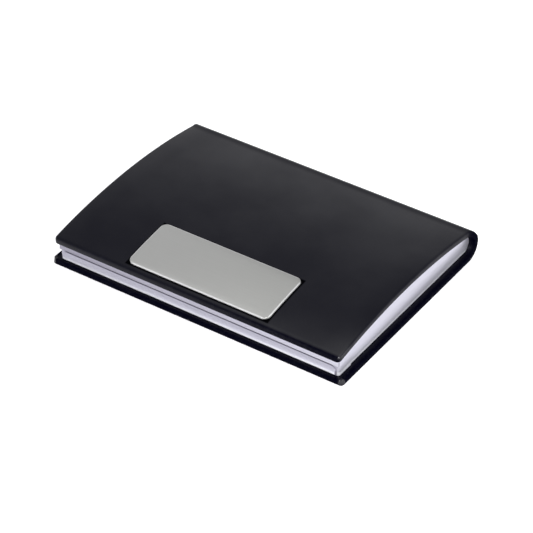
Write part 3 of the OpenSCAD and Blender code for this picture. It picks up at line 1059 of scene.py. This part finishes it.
class CARDCASE_OT_tray_lining(bpy.types.Operator):
    """Models the soft lining that the cards lie on"""
    bl_idname = "cardcase.tray_lining"
    bl_label = "Tray Lining"

    def execute(self, context):
        low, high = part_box("tray_lining")
        pad = block("tray_pad", low, high)
        soften_slab(pad, low, high, 3 * shapes().pad_edge, 0, shapes().pad_edge, 3)
        close_and_smooth(pad)
        lining = microfibre_material("Tray lining", on_wrap=False)
        finish_piece(pad, lining, "lining", "tray_lining")
        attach(pad, "base")
        return {"FINISHED"}


class CARDCASE_OT_boards(bpy.types.Operator):
    """Gives the hidden boards and adhesive sheets their materials"""
    bl_idname = "cardcase.boards"
    bl_label = "Boards and Adhesive"

    def execute(self, context):
        rows = ((board_material(), ("base_board", "lid_board")),
                (adhesive_material(), ("tray_tape", "liner_tape", "nameplate_tape")))
        for material, names in rows:
            for name in names:
                for slot in frame["nodes"][name].material_slots:
                    slot.material = material
        return {"FINISHED"}


# ---- Stage ----

def studio_world(stage):
    """A plain studio: bright round the horizon and dimmer overhead."""
    world = bpy.data.worlds.new("Studio")
    world.use_nodes = True
    tree = world.node_tree
    up = axes(tree, node(tree, "ShaderNodeTexCoord").outputs["Generated"])[2]
    strength = between(tree, up, *HORIZON_TO_ZENITH, stage.horizon, stage.zenith, smooth=True)
    feed(tree, tree.nodes["Background"].inputs, {"Color": STUDIO_TINT, "Strength": strength})
    bpy.context.scene.world = world


def face_case(thing, name, azimuth, elevation, distance):
    """Names a light or the camera and stands it off from the case, facing it."""
    level = math.cos(elevation)
    back = Vector((math.sin(azimuth) * level, -math.cos(azimuth) * level, math.sin(elevation)))
    thing.name = thing.data.name = name
    thing.location = Vector(bpy.context.scene.card_case_stage.aim) + back * distance
    thing.rotation_euler = (-back).to_track_quat("-Z", "Y").to_euler()


class CARDCASE_OT_stage(bpy.types.Operator):
    """Lays the pale floor and sets the soft lights and the camera"""
    bl_idname = "cardcase.stage"
    bl_label = "Stage"

    def execute(self, context):
        stage = context.scene.card_case_stage
        bpy.ops.object.select_all(action="DESELECT")
        bpy.ops.mesh.primitive_plane_add(size=FLOOR_SIZE, location=(0, 0, 0))
        floor = context.object
        floor.name = floor.data.name = "pale_floor"
        floor.data.materials.append(floor_material(stage.floor_glow))
        studio_world(stage)
        for name, side, azimuth, elevation, distance in LIGHTS:
            bpy.ops.object.light_add(type="AREA")
            light = context.object
            light.data.energy = getattr(stage, name)
            light.data.size = side
            face_case(light, name, math.radians(azimuth), math.radians(elevation), distance)
        bpy.ops.object.camera_add()
        camera = context.object
        face_case(camera, "camera", stage.azimuth, stage.elevation, stage.distance)
        camera.data.lens = stage.lens
        camera.data.clip_start, camera.data.clip_end = CAMERA_REACH
        context.scene.camera = camera
        context.scene.view_settings.view_transform = "Standard"
        return {"FINISHED"}


class CARDCASE_PT_panel(bpy.types.Panel):
    """Lists the steps that build the card case, and its settings"""
    bl_idname = "CARDCASE_PT_panel"
    bl_label = "Business Card Case"
    bl_space_type = "VIEW_3D"
    bl_region_type = "UI"
    bl_category = "Card Case"

    def draw(self, context):
        for operator in OPERATORS:
            self.layout.operator(operator.bl_idname)
        for name, kind in SETTINGS:
            box = self.layout.box()
            for key in kind.__annotations__:
                box.prop(getattr(context.scene, name), key)


OPERATORS = (
    CARDCASE_OT_stage, CARDCASE_OT_wrap, CARDCASE_OT_spine_lining, CARDCASE_OT_steel,
    CARDCASE_OT_nameplate, CARDCASE_OT_closure, CARDCASE_OT_tray_lining, CARDCASE_OT_boards,
)
SETTINGS = (
    ("card_case_shapes", CardCaseShapes),
    ("card_case_colours", CardCaseColours),
    ("card_case_stage", CardCaseStage),
)


def register():
    """Adds the settings, the steps and the panel to Blender."""
    for name, settings in SETTINGS:
        bpy.utils.register_class(settings)
        setattr(bpy.types.Scene, name, PointerProperty(type=settings))
    for operator in OPERATORS:
        bpy.utils.register_class(operator)
    bpy.utils.register_class(CARDCASE_PT_panel)


def unregister():
    """Takes them away again."""
    bpy.utils.unregister_class(CARDCASE_PT_panel)
    for operator in reversed(OPERATORS):
        bpy.utils.unregister_class(operator)
    for name, settings in reversed(SETTINGS):
        delattr(bpy.types.Scene, name)
        bpy.utils.unregister_class(settings)


def main():
    """Builds the case on its stage."""
    register()
    for operator in OPERATORS:
        getattr(bpy.ops.cardcase, operator.bl_idname.split(".")[1])()


if __name__ == "__main__":
    main()
